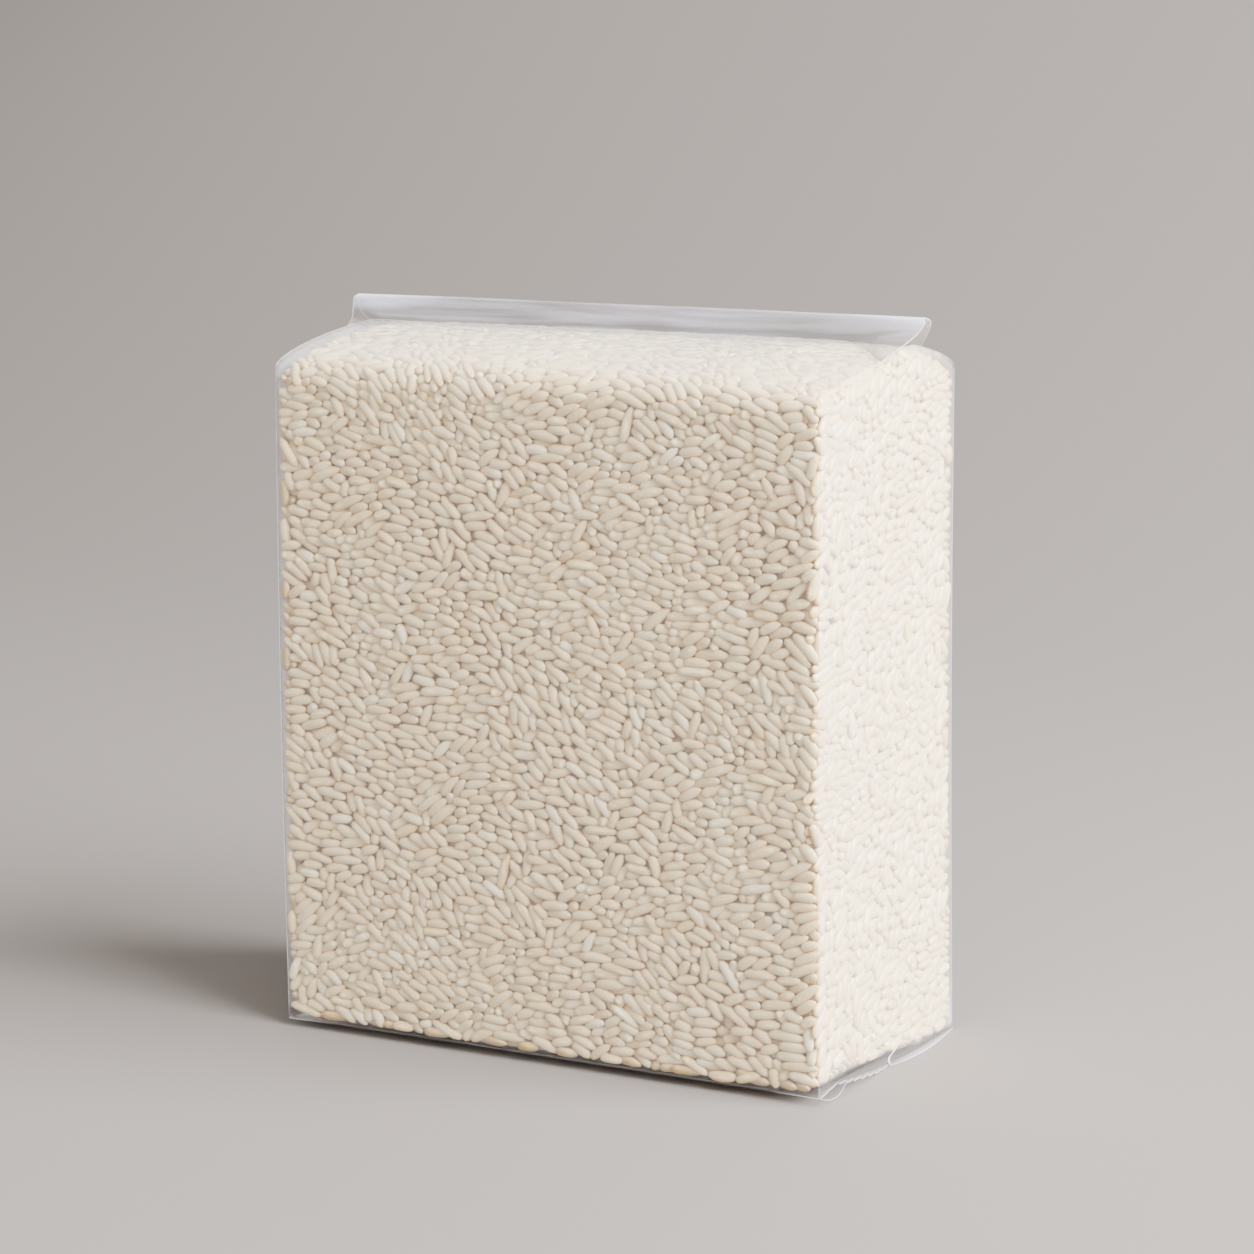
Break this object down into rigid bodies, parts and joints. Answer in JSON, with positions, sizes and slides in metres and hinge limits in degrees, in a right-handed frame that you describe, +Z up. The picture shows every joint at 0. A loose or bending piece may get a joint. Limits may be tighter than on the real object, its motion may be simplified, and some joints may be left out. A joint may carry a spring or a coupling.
{
  "type": "bag of rice",
  "caption": "Clear vacuum bag of white rice, a tight upright brick with crisp film edges, a domed top with a welded film fin, and a folded base.",
  "frame": {"origin": "bottom centre of the pack's box, in the flat face that it rests on", "axes": "+Z up, X along the wide front, front facing -Y"},
  "size_m": [0.1338, 0.0636, 0.154],
  "materials": {
    "rice_bag": "white rice behind clear glossy film"
  },
  "bodies": {
    "root": {"rice_bag": "rice_bag"}
  },
  "joints": []
}
